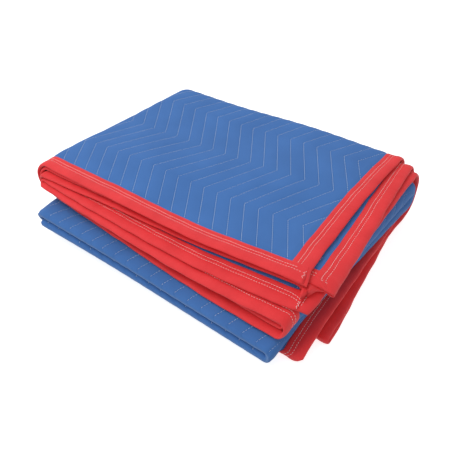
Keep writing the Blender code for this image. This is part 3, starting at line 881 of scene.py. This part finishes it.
# ---------------------------------------------------------------------------------------------
# Binding thread. White polyester thread: two rows of stitches near each binding's inner edge, seen
# on both faces, with back-and-forth tacks where some of the rows end at a corner.
STITCH_LENGTHS = (0.0037, 0.0029)
STITCH_RADIUS = 0.00032
DROP_LENGTH = 7.0              # stations over which a row curves towards the fold
TACK_PITCH = 0.0024
TACK = ((0.0, 0.0168), (-0.5, 0.0150), (0.3, 0.0128), (-0.6, 0.0104), (0.1, 0.0082), (-0.3, 0.0062))
TACK_INSETS = (1.0, 0.6)       # stations from the near side strip's cut ends
CROSS_TACK = (0.0232, 0.0158)  # distances from the fold, between the ends of the two rows


def strip_stitches(strip, rows, distances, side, pitch, length):
    """Stitches along a line over one face of a strip, given by station and distance from the fold."""
    profile = np.array(TAPE_PROFILE)[::-1]
    heights = side * np.interp(distances, profile[:, 0], profile[:, 1])
    line, normals, _ = strip_places(strip, rows, distances, heights)
    places = stitch_places(line, pitch)
    middles, directions, outwards = (
        read_line(values, places) for values in (line, np.gradient(line, axis=0), normals * side))
    return stitches(middles, directions, outwards, length, STITCH_RADIUS)


def seam_line(first, last, distance, end_drop):
    """Stations and distances of a row: straight, and curved towards the fold over its last part."""
    rows = np.append(np.arange(first, last), last)
    return rows, distance - end_drop * np.clip(1.0 - (last - rows) / DROP_LENGTH, 0.0, 1.0) ** 2


# For each strip, how many stations from its first and last corner its two rows start and end, and
# how far each row drops at its end.
Seam = namedtuple("Seam", "place starts ends drops")
near_tacks = SHORT_ENDS[0] + TACK_INSETS[0], SHORT_ENDS[1] + TACK_INSETS[1]
whole = BINDING_STATIONS
rows_of_stitches = (
    Seam("side_near", (whole - 3.5, near_tacks[0]), (near_tacks[1], near_tacks[1]), (0.0065, 0.0055)),
    Seam("side_far", (whole, whole), (whole, 3.0), (0.0, 0.0)),
    Seam("end_first", (whole, whole), (4.3, 4.3), (0.0, 0.0)),
    Seam("end_last", (2.5, 2.5), (whole, whole), (0.0, 0.0)),
)
seams = []
for seam in rows_of_stitches:
    strip = strips[seam.place]
    for row, distance in enumerate(STITCH_ROWS):
        last = len(strip.points) - 1 - seam.ends[row]
        line = seam_line(seam.starts[row], last, distance, seam.drops[row])
        for side in (1.0, -1.0):
            seams.append(strip_stitches(strip, *line, side, STITCH_PITCH, STITCH_LENGTHS[row]))

# Two back-and-forth tacks where the near side's rows end, the first one spread wider, and one
# straight across near the first end's last corner.
tack_stations, tack_distances = np.array(TACK).T
for place, stations_in, distances_in in (
        ("side_near", near_tacks[0] + tack_stations, 1.5 * tack_distances - 0.003),
        ("side_near", last_row - near_tacks[1] - tack_stations, tack_distances - 0.004),
        ("end_first", np.full(2, last_column - 4.0), np.array(CROSS_TACK))):
    for side in (1.0, -1.0):
        seams.append(strip_stitches(strips[place], stations_in, distances_in, side,
                                    TACK_PITCH, STITCH_LENGTHS[1]))
binding_points, binding_faces = joined(seams)
binding_points[:, 2] = np.maximum(binding_points[:, 2], 0.0)
binding_seams = new_piece("binding_thread", binding_points, binding_faces,
                          thread_finish("binding_thread_white", (0.90, 0.84, 0.82, 1.0)))
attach(binding_seams, "root")

# ---------------------------------------------------------------------------------------------
# Studio. A white floor that gives off some light of its own, soft light from all round, a key lamp
# from the front left with a weaker fill lamp behind it, and the camera.
floor_mesh = bpy.data.meshes.new("floor")
floor_mesh.from_pydata([(-6, -6, -0.0004), (6, -6, -0.0004), (6, 6, -0.0004), (-6, 6, -0.0004)], [],
                       [(0, 1, 2, 3)])
floor_finish, floor_tree, floor_shader = new_finish("white_floor")
feed(floor_tree, floor_shader, {"Base Color": (0.70, 0.70, 0.70, 1.0), "Roughness": 0.9,
                                "Emission Color": (1.0, 1.0, 1.0, 1.0), "Emission Strength": 0.75})
floor_mesh.materials.append(floor_finish)
floor = bpy.data.objects.new("floor", floor_mesh)
bpy.context.scene.collection.objects.link(floor)
floor.visible_diffuse = False

world = bpy.data.worlds.new("studio")
world.use_nodes = True
feed(world.node_tree, world.node_tree.nodes["Background"],
     {"Color": (1.0, 1.0, 1.0, 1.0), "Strength": 0.60})
bpy.context.scene.world = world
bpy.context.scene.view_settings.view_transform = "Standard"

for light_name, place, size, power in (("key", (-1.0, -0.9, 2.3), 1.6, 28.0),
                                       ("fill", (-1.4, 0.6, 1.8), 1.6, 5.0)):
    lamp = bpy.data.lights.new(light_name, "AREA")
    lamp.size = size
    lamp.energy = power
    light = bpy.data.objects.new(light_name, lamp)
    light.location = place
    aim = -np.array(place) / np.linalg.norm(place)
    light.rotation_euler = (np.arccos(-aim[2]), 0.0, np.arctan2(aim[1], aim[0]) - np.pi / 2)
    bpy.context.scene.collection.objects.link(light)

lens = bpy.data.cameras.new("camera")
lens.sensor_width = 36.0
lens.lens = 49.76
lens.clip_start = 0.01
camera = bpy.data.objects.new("camera", lens)
camera.location = (0.466761, -0.690947, 0.712235)
camera.rotation_euler = (np.radians(90.0 - 40.80), 0.0, np.radians(33.29))
bpy.context.scene.collection.objects.link(camera)
bpy.context.scene.camera = camera
